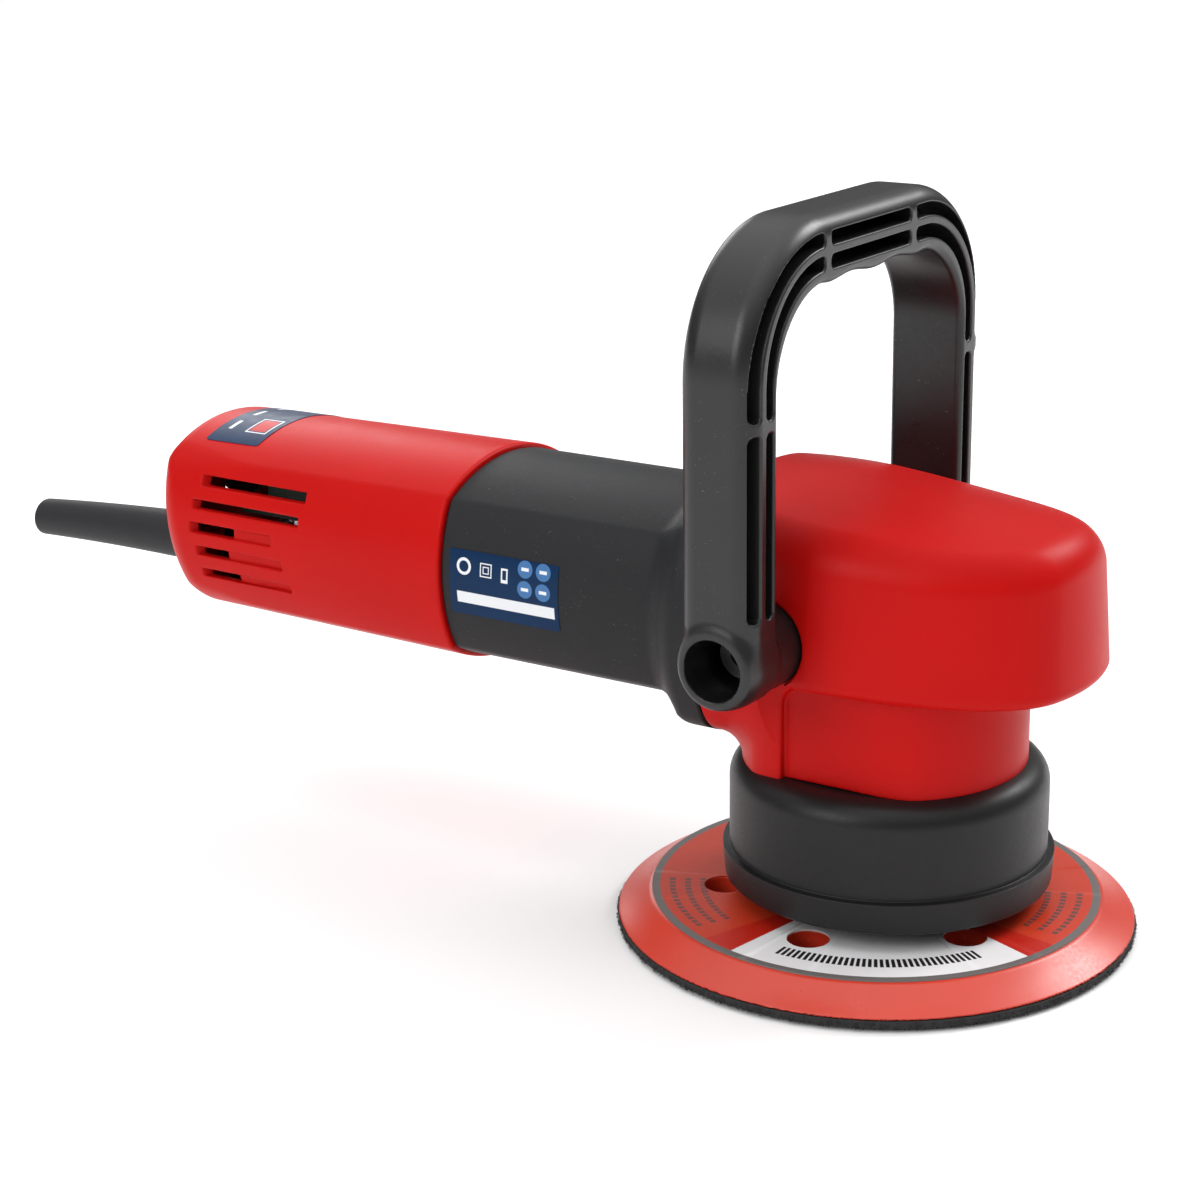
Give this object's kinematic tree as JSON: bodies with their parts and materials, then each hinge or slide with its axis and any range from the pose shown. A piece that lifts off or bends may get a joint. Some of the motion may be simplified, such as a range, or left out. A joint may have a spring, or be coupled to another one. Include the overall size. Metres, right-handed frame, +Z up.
{
  "type": "dual action polisher",
  "caption": "Corded random-orbital car polisher with a right-angle head, a bolted D-handle, an eccentric drive under a round shroud and a 150 mm hook-faced pad.",
  "frame": {"origin": "on the pad's working face, directly under the drive spindle's axis, with the tool standing on its pad", "axes": "+X from the motor to the front of the head, +Y to the tool's left, +Z up along the drive spindle"},
  "size_m": [0.4045, 0.15, 0.2085],
  "materials": {
    "housing_red": "saturated red moulded plastic, satin",
    "housing_black": "charcoal glass-filled nylon, fine moulded texture",
    "handle_black": "black glass-filled nylon, satin",
    "shroud_black": "black elastomer, satin",
    "label_blue": "printed film, satin",
    "steel": "ground steel",
    "dark_steel": "blackened steel",
    "aluminium": "die cast",
    "copper": "enamelled copper",
    "brass": "plain brass",
    "carbon": "matt black moulding or carbon",
    "rubber": "black rubber, satin",
    "pad_foam": "orange-red moulded polyurethane, semi gloss",
    "pad_print": "printed disc, red with white and dark red sectors",
    "hook": "dark hook-and-loop pile",
    "board": "green circuit board"
  },
  "bodies": {
    "housing": {"head_cover": "housing_red", "motor_housing": "housing_black", "rear_housing": "housing_red", "shroud": "shroud_black", "spec_label": "label_blue", "top_label": "label_blue", "handle": "handle_black", "handle_bolt_left": "dark_steel", "handle_bolt_right": "dark_steel", "gear_case": "aluminium", "gear_case_cap": "aluminium", "cap_screw_1": "steel", "cap_screw_2": "steel", "cap_screw_3": "steel", "cap_screw_4": "steel", "spindle_bearing_lower": "steel", "spindle_bearing_upper": "steel", "bearing_retainer": "dark_steel", "armature_bearing_front": "steel", "armature_bearing_rear": "steel", "rear_bearing_bracket": "carbon", "stator_core": "dark_steel", "field_coil_left": "copper", "field_coil_right": "copper", "brush_holder_left": "brass", "brush_holder_right": "brass", "carbon_brush_left": "carbon", "carbon_brush_right": "carbon", "switch_module": "carbon", "speed_controller": "board", "cord_clamp": "housing_black", "clamp_screw_left": "steel", "clamp_screw_right": "steel", "rear_screw_left": "steel", "rear_screw_right": "steel", "strain_relief": "rubber"},
    "armature": {"armature_shaft": "steel", "armature_core": "dark_steel", "armature_winding_front": "copper", "armature_winding_rear": "copper", "commutator": "copper", "cooling_fan": "housing_black", "pinion_gear": "steel"},
    "spindle": {"drive_spindle": "steel", "ring_gear": "steel", "eccentric_carrier": "dark_steel", "counterweight": "dark_steel", "weight_screw_left": "steel", "weight_screw_right": "steel", "pad_bearing_lower": "steel", "pad_bearing_upper": "steel"},
    "pad": {"pad_spindle": "steel", "pad_stud": "steel", "pad_hub": "steel", "pad_label": "pad_print", "backing_pad": "pad_foam", "hook_face": "hook"},
    "switch": {"switch_slider": "housing_black"},
    "dial": {"speed_dial": "housing_black"}
  },
  "joints": [
    {"name": "armature_spin", "type": "hinge", "parent": "housing", "child": "armature", "pos_m": [-0.096, 0, 0.0925], "axis": [1, 0, 0], "continuous": true},
    {"name": "spindle_spin", "type": "hinge", "parent": "housing", "child": "spindle", "pos_m": [0, 0, 0.065], "axis": [0, 0, 1], "continuous": true},
    {"name": "pad_spin", "type": "hinge", "parent": "spindle", "child": "pad", "pos_m": [-0.004, 0, 0.03], "axis": [0, 0, 1], "continuous": true},
    {"name": "switch_slide", "type": "slide", "parent": "housing", "child": "switch", "axis": [1, 0, 0], "range_m": [0, 0.008]},
    {"name": "dial_turn", "type": "hinge", "parent": "housing", "child": "dial", "pos_m": [-0.239, 0, 0.106], "axis": [0, 1, 0], "range_deg": [0, 270]}
  ],
  "couplings": [
    {"joint": "spindle_spin", "follows": "armature_spin", "ratio": -0.25}
  ]
}
